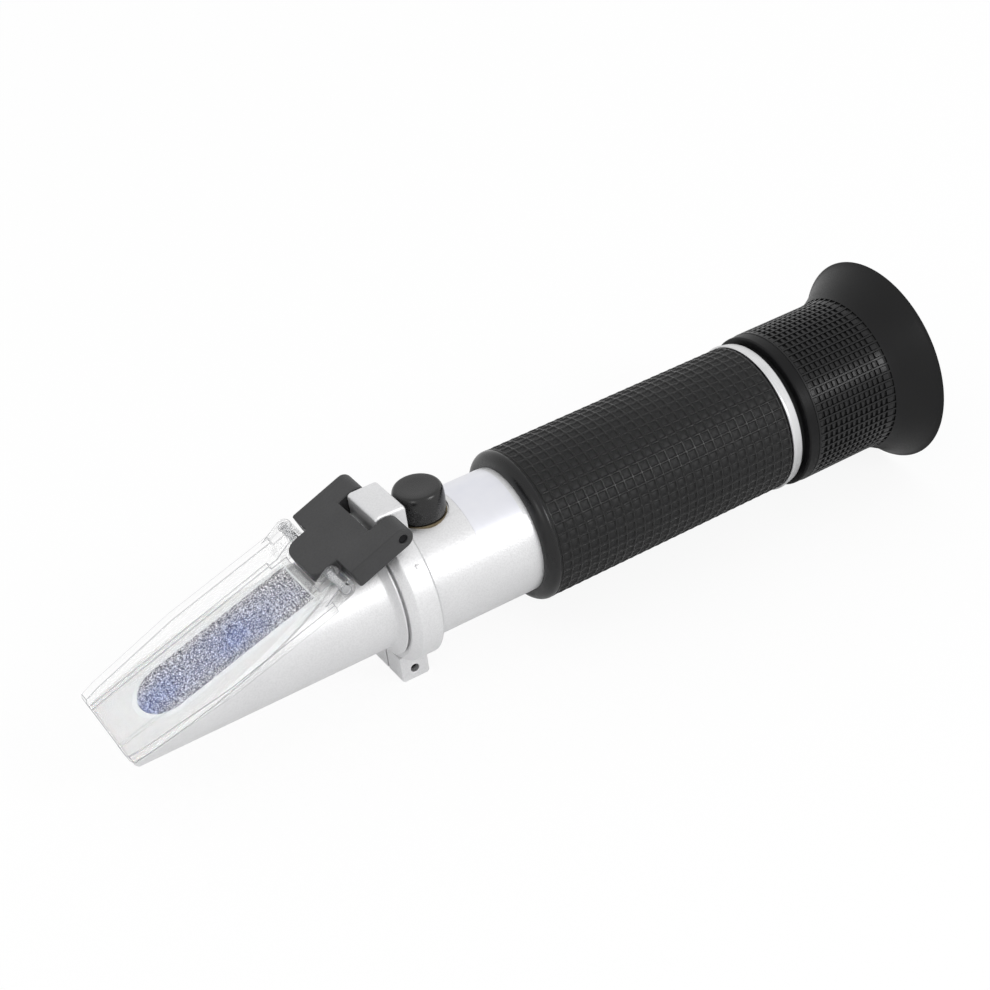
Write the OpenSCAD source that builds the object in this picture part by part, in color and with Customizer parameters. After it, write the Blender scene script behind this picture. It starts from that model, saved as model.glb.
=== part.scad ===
// Hand-held brix refractometer with a hinged daylight plate, a split clamp
// collar, a capped calibration screw and a helical-focus eyepiece.
// The optical axis lies along X. Inside the modules, x is counted from the nose
// tip towards the eyecup. The finished part is moved so that the origin is on
// the optical axis at the mouth of the eye bore. Z is up, out of the prism.

/* [Nose and prism] */
// Length of the cylindrical nose, from its tip to the flare
nose_len = 49.6; // [45:0.1:56]
// Step from the barrel's radius down to the nose's
nose_step = 1.75; // [1.4:0.05:2.1]
// Wall between the nose's outside and the prism chamber
nose_wall = 1.75; // [1.2:0.05:2.4]
// Slope of the prism face, in degrees
face_slope = 18; // [16:0.5:20]
// Depth of the prism face's front edge below the optical axis
face_drop = 3.6; // [2.8:0.1:4.4]
// Rake of the nose's front end, in degrees
nose_rake = 25; // [15:1:32]
// Height of the prism face above the metal rim round it
rim_step = 1.3; // [1:0.1:1.6]
// Width of the cement and metal on each side of the prism window
window_side = 4.45; // [3.9:0.05:5.2]

/* [Daylight plate] */
// Half width of the plate at its front edge
plate_front_hw = 9.9; // [9:0.1:11]
// Half width of the plate at its back end
plate_back_hw = 12.5; // [11.8:0.1:13]
// Length of the plate along the slope, without its lugs
plate_len = 41; // [38:0.5:42]
// Thickness of the recessed middle panel
panel_t = 0.8; // [0.6:0.1:1.2]
// Thickness of the side rails
rail_t = 1.7; // [1.4:0.1:2]
// Gap for the sample between the plate and the prism
film_gap = 0.15; // [0.1:0.05:0.3]

/* [Clamp collar] */
// Thickness of the collar
collar_wall = 2.7; // [2.4:0.1:3.2]
// Length of the collar along the axis
collar_len = 5.8; // [5.4:0.1:6.6]
// Depth of the lug's foot below the collar
lug_drop = 3.8; // [3.4:0.1:4.4]
// Width of the clamp lug
lug_w = 10.4; // [9:0.1:11.5]
// Width of the hinge post
post_w = 10; // [9:0.1:10.4]
// Height of the post's top above the collar
post_rise = 4; // [3.6:0.05:4.5]

/* [Hinge bracket] */
// Tilt of the closed bracket, in degrees
bracket_tilt = 21.4; // [20:0.2:23]
// Width across the bracket's ears
bracket_w = 21.4; // [20.2:0.1:22]
// Thickness of the bracket
bracket_t = 3.8; // [3.4:0.1:3.9]
// Length from the hinge pin to the front of the wide part
bracket_arm = 10.3; // [10:0.05:10.9]
// Length of the tongue in front of the wide part
tongue_len = 4.95; // [4.5:0.05:5.3]
// Width of the tongue
tongue_w = 11; // [10:0.1:11.4]
// Radius of both cross pins
pin_r = 0.75; // [0.6:0.05:0.85]

/* [Barrel and grip] */
// Radius of the bare metal barrel
barrel_r = 11.8; // [11.4:0.05:12.2]
// Wall of the barrel
barrel_wall = 2.8; // [2.5:0.05:3.1]
// Length of bare barrel between the collar and the grip
bare_len = 21.4; // [18:0.2:28]
// Length of the rubber grip
grip_len = 53.4; // [46:0.2:62]
// Thickness of the rubber grip
grip_wall = 2.5; // [1.8:0.1:2.8]
// Length of the bright ring behind the grip
ring_len = 2.3; // [1.6:0.1:3.2]
// Thickness of the bright ring at its front edge
ring_wall = 2.75; // [2.7:0.01:3.4]

/* [Calibration screw] */
// Distance of the screw behind the collar
cal_offset = 5.2; // [4.9:0.1:7]
// Radius of the rubber cap
cap_r = 4.6; // [4:0.1:4.7]
// Height of the rubber cap
cap_h = 5.3; // [4.8:0.1:6.2]
// Radius of the slotted screw
cal_screw_r = 1.5; // [1.2:0.1:1.8]

/* [Eyepiece] */
// Gap between the bright ring and the focus ring when focused at infinity
focus_gap = 1.2; // [1.1:0.1:1.8]
// Length of the smooth band of the focus ring
band_len = 2.2; // [1.8:0.1:3.6]
// Length of the gridded rubber sleeve
sleeve_len = 15.5; // [14:0.1:19]
// Thickness of the rubber sleeve over the focus ring
sleeve_wall = 1.1; // [0.9:0.1:1.6]
// Length of the flared eyecup
cup_len = 10; // [8:0.1:13]
// How far the eyecup's rim stands out past the sleeve
cup_flare = 5; // [3:0.1:6]
// Step from the lens bore out to the open bore behind the eye lens
eye_step = 1.4; // [1.2:0.1:1.8]
// Length of the open bore behind the eye lens
eye_bore_len = 5; // [4:0.1:5.4]

/* [Hidden] */
$fn = 96;
// Overrun of every cut
over = 1;
// Gap between pieces that are pressed, screwed or cemented together
seat_gap = 0.02;
// Radial clearance of a running fit
run_gap = 0.05;
// Clearance between pieces that pass without touching
pass_gap = 0.3;

// Radii that follow the barrel
bush_wall = 1.45;
core_wall = 0.6;
flare_step = 0.07;
spigot_step = 0.6;
nose_r = barrel_r - nose_step;
flare_r = barrel_r + flare_step;
spigot_r = barrel_r - spigot_step;
collar_bore_r = spigot_r + seat_gap;
collar_r = spigot_r + collar_wall;
barrel_bore_r = barrel_r - barrel_wall;
grip_r = barrel_r + grip_wall;
ring_r = barrel_r + ring_wall;
bush_bore_r = barrel_r + seat_gap;
bush_r = barrel_r + bush_wall;
focus_bore_r = bush_r + run_gap;
core_r = focus_bore_r + core_wall;
sleeve_r = core_r + sleeve_wall;
cup_r = sleeve_r + cup_flare;

// Axial stations, counted from the nose tip
flare_len = 1.3;
collar_x = nose_len + flare_len + pass_gap;
bare_x = collar_x + collar_len;
grip_x = bare_x + bare_len;
ring_x = grip_x + grip_len;
ring_end = ring_x + ring_len;
band_x = ring_end + focus_gap;
sleeve_x = band_x + band_len;
cup_x = sleeve_x + sleeve_len;
rim_x = cup_x + cup_len;

// Nose: length and radius shares of the flare
nose_flare_shares = [[0.35, 0.3], [0.75, 1]];
chamber_r = nose_r - nose_wall;
chamber_front = 5.5;
joint_skin = 0.6;
joint_wall = 1;
joint_r = barrel_bore_r + joint_skin;
joint_len = 6.6;
joint_bore_r = joint_r - joint_wall;
nose_chamfer = 0.3;

// Prism, its cement and the sloping face, measured along the slope
face_end = (nose_r + face_drop) / sin(face_slope);
window_inset = 6.5;
window_rear = 4.57;
window_hw = nose_r - window_side;
window_front = window_hw + window_inset;
window_back = face_end - window_rear;
seal_inset = 0.3;
seal_r = nose_r - seal_inset;
seal_drop = 0.35;
seal_rear = 1.83;
seal_back = face_end + seal_rear;
seal_setback = 0.4;
prism_floor = 7;
prism_lead = 0.4;
prism_front = chamber_front + prism_lead;
prism_root = 0.4;
prism_back_share = 1.02;
prism_heel_share = 0.7;

// Collar, post and lug
collar_chamfer = 0.9;
collar_edge = 0.45;
collar_shoulder = 1.4;
post_top = collar_r + post_rise;
post_front = 0.15;
post_over = 0.1;
post_len = collar_len + post_over;
post_edge = 0.55;
post_sink = 1.6;
post_root = collar_r - post_sink;
slit_w = 0.5;
lug_foot = collar_r + lug_drop;
lug_step = 0.4;
lug_len = collar_len - lug_step;
lug_edge = 0.4;
clamp_screw_back = 2.7;
clamp_screw_up = 2.1;
clamp_screw_x = collar_x + clamp_screw_back;
clamp_screw_z = clamp_screw_up - lug_foot;
clamp_screw_r = 0.8;
clamp_head_r = 1.55;
clamp_head_len = 1.6;
clamp_tip_inset = 1.2;
clamp_slot_w = 0.4;
clamp_slot_d = 0.6;

// Hinge
pin_back = 2.1;
pin_drop = 2.12;
pin_x = collar_x + pin_back;
pin_z = post_top - pin_drop;
pin_inset = 0.35;
ear_gap = 0.3;
notch_depth = 3.13;
tongue_drop = 0.6;
tongue_corner = 2.5;
bracket_corner = 0.5;
bracket_edge = 0.35;

// Daylight plate: length and half-width shares of the outline, front to back
outline_shares = [[0, 0], [0.075, 0.27], [0.21, 0.5], [0.34, 0.75], [0.48, 1], [1, 1]];
panel_front_hw = 6;
panel_back_hw = 6.8;
plate_corner = 0.8;
plate_corner_share = 0.4;
lug_r = 1.6;
lug_root = 3.2;
plate_lug_out = 11.6;
plate_lug_in = tongue_w / 2 + pass_gap;

// Pin of the plate, in the bracket's frame and then along and out of the slope
lug_gap = 0.63;
plate_pin_u = -(bracket_arm + lug_gap + lug_r);
plate_pin_n = 0.6;
plate_pin_x = pin_x + plate_pin_u * cos(bracket_tilt) - plate_pin_n * sin(bracket_tilt);
plate_pin_z = pin_z + plate_pin_u * sin(bracket_tilt) + plate_pin_n * cos(bracket_tilt);
pin_s = plate_pin_x * cos(face_slope) + (plate_pin_z + face_drop) * sin(face_slope);
pin_t = (plate_pin_z + face_drop) * cos(face_slope) - plate_pin_x * sin(face_slope);
plate_setback = 3.12;
plate_back = pin_s - plate_setback;
plate_front = plate_back - plate_len;

// Barrel, held by the bush of the focus thread at its back end
web_setback = 7.2;
web_len = 1.4;
thread_gap = 2.3;
web_x = cup_x - web_setback;
barrel_end = web_x - thread_gap;
barrel_x = bare_x + run_gap;

// Grip and bright ring
grip_nose = 2;
grip_groove_back = 2.15;
grip_groove_r = 0.2;
grip_tail = 0.6;
ring_taper = 0.4;
ring_back_r = ring_r - ring_taper;
ring_edge = 0.2;

// Calibration boss, screw and cap
cal_x = bare_x + cal_offset;
flat_depth = 0.6;
seat_z = barrel_r - flat_depth;
seat_r = cap_r + pass_gap;
cap_edge = 0.6;
cap_wall = 1.25;
cap_roof = 1.3;
cap_headroom = 0.9;
boss_lip = 0.05;
boss_flange_t = 0.25;
boss_sink = 0.98;
boss_flange_r = cap_r + boss_lip;
boss_flange_top = seat_z + boss_flange_t;
boss_neck_r = cap_r - cap_wall - run_gap;
boss_neck_top = boss_flange_top + cap_h - cap_roof - cap_headroom;
boss_stem_wall = 1;
boss_stem_r = cal_screw_r + boss_stem_wall;
boss_stem_gap = 0.15;
boss_stem_z = barrel_bore_r + boss_stem_gap;
cap_z = boss_flange_top + run_gap;
cal_screw_out = 0.2;
cal_screw_top = boss_neck_top + cal_screw_out;
cal_slot_w = 0.5;
cal_slot_d = 0.8;

// Objective on its compensating strip
holder_gap = 1.2;
holder_wall = 1.4;
holder_lip = 1;
holder_lead = 3.8;
holder_r = barrel_bore_r - holder_gap;
holder_len = 8.5;
holder_x = cal_x - holder_lead;
objective_r = holder_r - holder_wall;
objective_t = 4.2;
objective_edge = 2.2;
objective_bore_r = objective_r - holder_lip;
objective_ring_len = 0.9;
strip_t = 0.6;
strip_w = 5;
strip_lead = 1.5;
strip_x = holder_x + strip_lead;
strip_len = 36;
anchor_len = 5;
anchor_wall = 2;
anchor_bore_r = barrel_bore_r - anchor_wall;

// Glare stop and reticle
stop_gap = 5;
stop_x = strip_x + strip_len + stop_gap;
stop_len = 1.2;
stop_bore_r = barrel_bore_r / 2;
reticle_gap = 8;
reticle_x = stop_x + reticle_gap;
reticle_holder_len = 5;
reticle_wall = 1;
reticle_lip = 1.2;
reticle_r = barrel_bore_r - reticle_wall;
reticle_t = 1.5;
reticle_lip_r = reticle_r - reticle_lip;

// Lens tube, drawn along the barrel by the focus thread
tube_wall = 1.35;
tube_reach = 5.8;
tube_cup_wall = 2;
tube_r = barrel_bore_r - run_gap;
lens_bore_r = tube_r - tube_wall;
lens_shoulder = 0.8;
lens_lip_r = lens_bore_r - lens_shoulder;
lens_lip = 1.5;
eye_bore_r = lens_bore_r + eye_step;
eye_back = 3.6;
eye_x = cup_x + eye_back;
eye_seat_x = eye_x - eye_bore_len;
retainer_len = 1.2;
retainer_step = 0.3;
retainer_r = eye_bore_r - retainer_step;
lens_end = eye_seat_x - retainer_len;
eye_lens_t = 4.6;
eye_lens_edge = 2.4;
field_lens_t = 4;
field_lens_edge = 2;
tube_front = ring_x - tube_reach;
tube_cup_r = eye_bore_r + tube_cup_wall;
flange_x = web_x + web_len + pass_gap;
flange_len = 1.5;
flange_inset = 1.4;
flange_r = core_r - flange_inset;

// Focus ring on its threaded bush
band_step = 0.1;
band_r = sleeve_r - band_step;
band_edge = 0.35;
recess_gap = 0.4;
recess_r = flange_r + recess_gap;

// Eyecup: length and radius shares of the flare
flare_shares = [[0, 0], [0.2, 0.035], [0.35, 0.14], [0.5, 0.29], [0.65, 0.46], [0.8, 0.65], [0.94, 0.86], [1, 1]];
rim_t = 0.8;
cup_floor = 1.4;
throat_r = core_r - pass_gap;
floor_r = tube_cup_r + pass_gap;

datum_x = eye_x;

// Points of an arc about [cx, cy], from angle a0 to a1
function arc(cx, cy, r, a0, a1, steps = 6) =
    [for (i = [0:steps]) let (a = a0 + (a1 - a0) * i / steps) [cx + r * cos(a), cy + r * sin(a)]];

// Sag of a lens face of edge radius r and depth d, at the radius q
function sag(r, d, q) = let (R = (r * r + d * d) / (2 * d)) R - d - sqrt(R * R - q * q);

// Puts a piece, drawn from the nose tip, in the part's frame
module placed() {
    translate([-datum_x, 0, 0]) children();
}

// Revolves [x, radius] points about the optical axis
module turned(points) {
    rotate([0, 90, 0]) rotate_extrude() polygon([for (p = points) [p[1], p[0]]]);
}

// Cylinder along the optical axis
module rod(x0, x1, r) {
    translate([x0, 0, 0]) rotate([0, 90, 0]) cylinder(h = x1 - x0, r = r);
}

// Tube along the optical axis
module pipe(x0, x1, r_out, r_in) {
    difference() {
        rod(x0, x1, r_out);
        rod(x0 - over, x1 + over, r_in);
    }
}

// Cylinder across the part, along Y
module cross(x, z, y0, y1, r) {
    translate([x, y0, z]) rotate([-90, 0, 0]) cylinder(h = y1 - y0, r = r);
}

// Extrudes an [x, z] outline across the part
module side_profile(points, width) {
    rotate([90, 0, 0]) linear_extrude(height = width, center = true) polygon(points);
}

// Frame of the plate's underside: local x runs up the slope, local z out of it
module on_slope() {
    translate([0, 0, -face_drop]) rotate([0, -face_slope, 0]) children();
}

// Frame of the bracket: origin on the hinge pin, local x towards the eyecup
module on_hinge() {
    translate([pin_x, 0, pin_z]) rotate([0, -bracket_tilt, 0]) children();
}

// Slot with a round front end, cut or drawn square to the slope
module window_slot(half, z0, z1) {
    translate([window_front, 0, z0]) cylinder(h = z1 - z0, r = half);
    translate([window_front, -half, z0]) cube([window_back - window_front, 2 * half, z1 - z0]);
}

// Everything in front of the raked nose face, set back by a distance
module ahead_of_nose(setback) {
    translate([setback, 0, -face_drop]) rotate([0, -nose_rake, 0])
        translate([-nose_len, -2 * nose_r, -nose_len]) cube([nose_len, 4 * nose_r, 2 * nose_len]);
}

// Biconvex lens with its front vertex at x
module biconvex(x, r, t, edge) {
    depth = (t - edge) / 2;
    qs = [for (i = [0:6]) r * i / 6];
    front = [for (q = qs) [x + depth + sag(r, depth, q), q]];
    back = [for (i = [6:-1:0]) [x + t - depth - sag(r, depth, qs[i]), qs[i]]];
    turned(concat(front, back));
}

module prism_housing() {
    color("gainsboro") placed() difference() {
        turned([
            [0, 0], [0, nose_r - nose_chamfer], [nose_chamfer, nose_r], [nose_len, nose_r],
            for (s = nose_flare_shares) [nose_len + flare_len * s[0], nose_r + (flare_r - nose_r) * s[1]],
            [nose_len + flare_len, flare_r],
            [nose_len + flare_len, spigot_r], [bare_x, spigot_r], [bare_x, 0]
        ]);
        ahead_of_nose(0);
        on_slope() translate([-over, -2 * nose_r, -rim_step])
            cube([seal_back + over + 2 * nose_wall, 4 * nose_r, 2 * nose_r]);
        rod(chamber_front, bare_x, chamber_r);
        rod(bare_x + run_gap - joint_len - seat_gap, bare_x + over, joint_r + seat_gap);
    }
}

module measuring_prism() {
    rise = tan(face_slope);
    shelf = face_drop + rim_step / cos(face_slope);
    back_x = window_back * cos(face_slope) * prism_back_share;
    heel_x = window_back * cos(face_slope) * prism_heel_share;
    color("lightsteelblue", 0.6) placed() union() {
        on_slope() window_slot(window_hw - seat_gap, -rim_step - prism_root, -film_gap);
        intersection() {
            rod(0, nose_len, chamber_r - seat_gap);
            side_profile([
                [prism_front, -prism_floor], [prism_front, prism_front * rise - shelf],
                [back_x, back_x * rise - shelf], [heel_x, -prism_floor]
            ], 2 * nose_r);
        }
    }
}

module prism_cement() {
    color("whitesmoke") placed() difference() {
        intersection() {
            rod(0, nose_len, seal_r);
            on_slope() translate([0, -nose_r, seat_gap - rim_step])
                cube([seal_back, 2 * nose_r, rim_step - seal_drop - seat_gap]);
        }
        ahead_of_nose(seal_setback);
        on_slope() window_slot(window_hw, -rim_step - over, over);
    }
}

module clamp_collar() {
    post_x = collar_x + post_front;
    post_end = post_x + post_len;
    lug_end = collar_x + lug_len;
    color("silver") placed() difference() {
        union() {
            turned([
                [collar_x, 0], [collar_x, collar_r - collar_shoulder],
                [collar_x + collar_chamfer, collar_r - collar_edge],
                [collar_x + collar_chamfer + collar_edge, collar_r],
                [bare_x - collar_edge, collar_r], [bare_x, collar_r - collar_edge], [bare_x, 0]
            ]);
            intersection() {
                side_profile([
                    [post_x, post_root], [post_x, post_top - post_edge],
                    [post_x + post_edge, post_top], [post_end - post_edge, post_top],
                    [post_end, post_top - post_edge], [post_end, post_root]
                ], post_w);
                rotate([0, 0, 90]) translate([0, -(post_x + post_end) / 2, 0])
                    side_profile([
                        [-post_w / 2, 0], [-post_w / 2, post_top - post_edge],
                        [-post_w / 2 + post_edge, post_top], [post_w / 2 - post_edge, post_top],
                        [post_w / 2, post_top - post_edge], [post_w / 2, 0]
                    ], post_len + 2 * over);
            }
            side_profile([
                [collar_x + lug_edge, -lug_foot], [collar_x, lug_edge - lug_foot],
                [collar_x, -post_root], [lug_end, -post_root],
                [lug_end, lug_edge - lug_foot], [lug_end - lug_edge, -lug_foot]
            ], lug_w);
        }
        rod(collar_x - over, bare_x + over, collar_bore_r);
        translate([collar_x - over, -slit_w / 2, -lug_foot - over])
            cube([collar_len + 2 * over, slit_w, lug_foot]);
        cross(clamp_screw_x, clamp_screw_z, -lug_w, lug_w, clamp_screw_r + seat_gap);
        cross(clamp_screw_x, clamp_screw_z, lug_w / 2 - clamp_head_len - pass_gap, lug_w,
            clamp_head_r + pass_gap / 2);
        cross(pin_x, pin_z, -post_w, post_w, pin_r + seat_gap);
    }
}

module clamp_screw() {
    head_out = lug_w / 2 - pass_gap;
    color("dimgray") placed() difference() {
        union() {
            cross(clamp_screw_x, clamp_screw_z, clamp_tip_inset - lug_w / 2, head_out, clamp_screw_r);
            cross(clamp_screw_x, clamp_screw_z, head_out - clamp_head_len + seat_gap, head_out,
                clamp_head_r);
        }
        translate([clamp_screw_x, head_out, clamp_screw_z])
            cube([clamp_slot_w, 2 * clamp_slot_d, 2 * clamp_head_r + over], center = true);
    }
}

module hinge_pin() {
    reach = bracket_w / 2 - pin_inset;
    color("dimgray") placed() cross(pin_x, pin_z, -reach, reach, pin_r);
}

module hinge_bracket() {
    half_w = bracket_w / 2;
    half_t = bracket_t / 2;
    notch_hw = post_w / 2 + ear_gap;
    front = -bracket_arm - tongue_len;
    color("dimgray") placed() on_hinge() difference() {
        union() {
            translate([0, 0, -half_t]) linear_extrude(height = bracket_t)
                polygon(concat(
                    arc(bracket_corner - bracket_arm, bracket_corner - half_w, bracket_corner, 180, 270),
                    [[0, -half_w], [0, half_w]],
                    arc(bracket_corner - bracket_arm, half_w - bracket_corner, bracket_corner, 90, 180)
                ));
            translate([0, 0, -tongue_drop]) linear_extrude(height = tongue_drop + half_t)
                polygon(concat(
                    arc(front + tongue_corner, tongue_corner - tongue_w / 2, tongue_corner, 180, 270),
                    [[-bracket_arm / 2, -tongue_w / 2], [-bracket_arm / 2, tongue_w / 2]],
                    arc(front + tongue_corner, tongue_w / 2 - tongue_corner, tongue_corner, 90, 180)
                ));
            cross(0, 0, -half_w, half_w, half_t);
        }
        translate([-notch_depth, -notch_hw, -bracket_t])
            cube([notch_depth + bracket_t, 2 * notch_hw, 2 * bracket_t]);
        for (side = [-1, 1]) {
            translate([0, side * half_w, half_t]) rotate([45, 0, 0])
                cube([3 * bracket_arm, bracket_edge, bracket_edge], center = true);
        }
        cross(0, 0, -bracket_w, bracket_w, pin_r + run_gap);
        cross(plate_pin_u, plate_pin_n, -tongue_w, tongue_w, pin_r + seat_gap);
    }
}

module plate_pin() {
    reach = plate_lug_out - pin_inset;
    color("dimgray") placed() on_hinge() cross(plate_pin_u, plate_pin_n, -reach, reach, pin_r);
}

// Outline of one side of the plate, front to back
function plate_edge(side) = [for (s = outline_shares)
    [plate_front + plate_len * s[0], side * (plate_front_hw + (plate_back_hw - plate_front_hw) * s[1])]];

function reversed(list) = [for (i = [len(list) - 1:-1:0]) list[i]];

module daylight_plate() {
    far = plate_edge(1);
    near = plate_edge(-1);
    corner_x = plate_corner * plate_corner_share;
    corner_y = plate_corner - plate_front_hw;
    color("aliceblue", 0.5) placed() on_slope() difference() {
        union() {
            difference() {
                linear_extrude(height = rail_t) polygon(concat(
                    [[plate_front, corner_y], [plate_front + corner_x, -plate_front_hw]],
                    [for (i = [1:len(near) - 1]) near[i]],
                    [for (i = [len(far) - 1:-1:1]) far[i]],
                    [[plate_front + corner_x, plate_front_hw], [plate_front, -corner_y]]
                ));
                translate([0, 0, panel_t]) linear_extrude(height = rail_t) polygon([
                    [plate_front - over, -panel_front_hw], [plate_back + over, -panel_back_hw],
                    [plate_back + over, panel_back_hw], [plate_front - over, panel_front_hw]
                ]);
            }
            for (side = [-1, 1]) {
                translate([0, side * (plate_lug_in + plate_lug_out) / 2, 0])
                    side_profile([
                        [plate_back - lug_root, 0], [plate_back - lug_root, rail_t],
                        [plate_back - lug_root / 2, rail_t],
                        [pin_s - lug_r * sin(bracket_tilt), pin_t + lug_r * cos(bracket_tilt)],
                        [pin_s, pin_t], [pin_s, pin_t - lug_r], [plate_back, 0]
                    ], plate_lug_out - plate_lug_in);
                cross(pin_s, pin_t, side > 0 ? plate_lug_in : -plate_lug_out,
                    side > 0 ? plate_lug_out : -plate_lug_in, lug_r);
            }
        }
        cross(pin_s, pin_t, -2 * plate_lug_out, 2 * plate_lug_out, pin_r + run_gap);
    }
}

module barrel_body() {
    difference() {
        turned([
            [barrel_x - joint_len, 0], [barrel_x - joint_len, joint_r], [barrel_x, joint_r],
            [barrel_x, barrel_r], [barrel_end, barrel_r], [barrel_end, 0]
        ]);
        translate([cal_x, 0, seat_z]) cylinder(h = barrel_r, r = seat_r);
    }
}

module barrel_tube() {
    color("gainsboro") placed() difference() {
        barrel_body();
        rod(barrel_x - joint_len - over, barrel_x, joint_bore_r);
        rod(barrel_x - over, barrel_end + over, barrel_bore_r);
        translate([cal_x, 0, 0]) cylinder(h = 2 * barrel_r, r = boss_stem_r + seat_gap);
    }
}

module calibration_boss() {
    color("peru") placed() difference() {
        union() {
            difference() {
                translate([cal_x, 0, seat_z - boss_sink])
                    cylinder(h = boss_flange_top - seat_z + boss_sink, r = boss_flange_r);
                barrel_body();
            }
            translate([cal_x, 0, boss_stem_z])
                cylinder(h = boss_flange_top - boss_stem_z, r = boss_stem_r);
            translate([cal_x, 0, boss_flange_top - seat_gap])
                cylinder(h = boss_neck_top - boss_flange_top + seat_gap, r = boss_neck_r);
        }
        translate([cal_x, 0, 0]) cylinder(h = 2 * boss_neck_top, r = cal_screw_r + run_gap);
    }
}

module calibration_screw() {
    foot = holder_r + seat_gap;
    color("silver") placed() difference() {
        translate([cal_x, 0, foot]) cylinder(h = cal_screw_top - foot, r = cal_screw_r);
        translate([cal_x, 0, cal_screw_top])
            cube([2 * cal_screw_r + over, cal_slot_w, 2 * cal_slot_d], center = true);
    }
}

module calibration_cap() {
    color("dimgray") placed() translate([cal_x, 0, cap_z]) rotate_extrude() polygon(concat(
        [[cap_r - cap_wall, 0], [cap_r, 0]],
        arc(cap_r - cap_edge, cap_h - cap_edge, cap_edge, 0, 90),
        [[0, cap_h], [0, cap_h - cap_roof], [cap_r - cap_wall, cap_h - cap_roof]]
    ));
}

module objective_holder() {
    pocket = objective_t + objective_ring_len + 2 * seat_gap;
    color("dimgray") placed() difference() {
        rod(holder_x, holder_x + holder_len, holder_r);
        rod(holder_x - over, holder_x + holder_len + over, objective_bore_r);
        rod(holder_x - over, holder_x + pocket, objective_r + seat_gap);
    }
}

module objective_lens() {
    color("lightcyan", 0.5) placed()
        biconvex(holder_x + objective_ring_len + seat_gap, objective_r, objective_t, objective_edge);
}

module objective_ring() {
    color("dimgray") placed()
        pipe(holder_x, holder_x + objective_ring_len, objective_r, objective_bore_r);
}

module strip_bar(grow) {
    translate([strip_x - grow, -strip_w / 2 - grow, -holder_r - seat_gap - strip_t - grow])
        cube([strip_len + 2 * grow, strip_w + 2 * grow, strip_t + 2 * grow]);
}

module compensation_strip() {
    color("peru") placed() strip_bar(0);
}

module strip_anchor() {
    anchor_x = strip_x + strip_len - anchor_len;
    color("darkgoldenrod") placed() difference() {
        pipe(anchor_x, anchor_x + anchor_len, barrel_bore_r - seat_gap, anchor_bore_r);
        strip_bar(seat_gap);
    }
}

module glare_stop() {
    color("dimgray") placed() pipe(stop_x, stop_x + stop_len, barrel_bore_r - seat_gap, stop_bore_r);
}

module reticle_holder() {
    color("darkgoldenrod") placed() difference() {
        rod(reticle_x, reticle_x + reticle_holder_len, barrel_bore_r - seat_gap);
        rod(reticle_x - over, reticle_x + reticle_holder_len + over, reticle_lip_r);
        rod(reticle_x + reticle_holder_len / 2, reticle_x + reticle_holder_len + over,
            reticle_r + seat_gap);
    }
}

module reticle() {
    x0 = reticle_x + reticle_holder_len / 2 + seat_gap;
    color("lightcyan", 0.5) placed() rod(x0, x0 + reticle_t, reticle_r);
}

module rubber_grip() {
    bore = barrel_r + seat_gap;
    nose = grip_r - bore;
    groove_x = grip_x + grip_groove_back;
    color("dimgray") placed() turned(concat(
        [[grip_x, bore]],
        [for (p = arc(0, 0, 1, 180, 90, 8))
            [grip_x + grip_nose + grip_nose * p[0], bore + nose * p[1]]],
        [for (p = arc(groove_x + grip_groove_r, grip_r, grip_groove_r, 180, 360, 6)) p],
        [[ring_x - grip_tail, grip_r], [ring_x - seat_gap, grip_r - grip_tail / 2],
            [ring_x - seat_gap, bore]]
    ));
}

module end_ring() {
    bore = barrel_r + seat_gap;
    color("gainsboro") placed() turned([
        [ring_x, bore], [ring_x, ring_r - ring_edge], [ring_x + ring_edge, ring_r],
        [ring_end - ring_edge, ring_back_r], [ring_end, ring_back_r - ring_edge], [ring_end, bore]
    ]);
}

module focus_bush() {
    color("dimgray") placed() pipe(ring_end + seat_gap, barrel_end, bush_r, bush_bore_r);
}

module lens_tube() {
    color("dimgray") placed() difference() {
        turned([
            [tube_front, 0], [tube_front, tube_r], [flange_x, tube_r], [flange_x, flange_r],
            [flange_x + flange_len, flange_r], [flange_x + flange_len, tube_cup_r],
            [eye_x - band_edge, tube_cup_r], [eye_x, tube_cup_r - band_edge], [eye_x, 0]
        ]);
        rod(tube_front - over, eye_x + over, lens_lip_r);
        rod(tube_front + lens_lip, eye_x + over, lens_bore_r);
        rod(lens_end, eye_x + over, retainer_r);
        rod(eye_seat_x, eye_x + over, eye_bore_r);
    }
}

module field_lens() {
    color("lightcyan", 0.5) placed()
        biconvex(tube_front + lens_lip + seat_gap, lens_bore_r - seat_gap, field_lens_t, field_lens_edge);
}

module lens_spacer() {
    x0 = tube_front + lens_lip + field_lens_t + 2 * seat_gap;
    x1 = lens_end - eye_lens_t - 2 * seat_gap;
    color("dimgray") placed() pipe(x0, x1, lens_bore_r - seat_gap, lens_lip_r);
}

module eye_lens() {
    color("lightcyan", 0.5) placed()
        biconvex(lens_end - eye_lens_t - seat_gap, lens_bore_r - seat_gap, eye_lens_t, eye_lens_edge);
}

module lens_retainer() {
    color("dimgray") placed()
        pipe(lens_end + seat_gap, eye_seat_x, retainer_r - seat_gap, lens_lip_r);
}

module focus_ring() {
    color("dimgray") placed() turned([
        [band_x, focus_bore_r], [band_x, band_r - band_edge], [band_x + band_edge, band_r],
        [sleeve_x - seat_gap, band_r], [sleeve_x - seat_gap, core_r], [cup_x, core_r],
        [cup_x, recess_r], [web_x + web_len, recess_r], [web_x + web_len, tube_r + pass_gap],
        [web_x, tube_r + pass_gap], [web_x, focus_bore_r]
    ]);
}

module tube_retainer() {
    color("dimgray") placed() pipe(flange_x + flange_len + pass_gap, cup_x - seat_gap,
        recess_r - seat_gap, floor_r);
}

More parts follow.
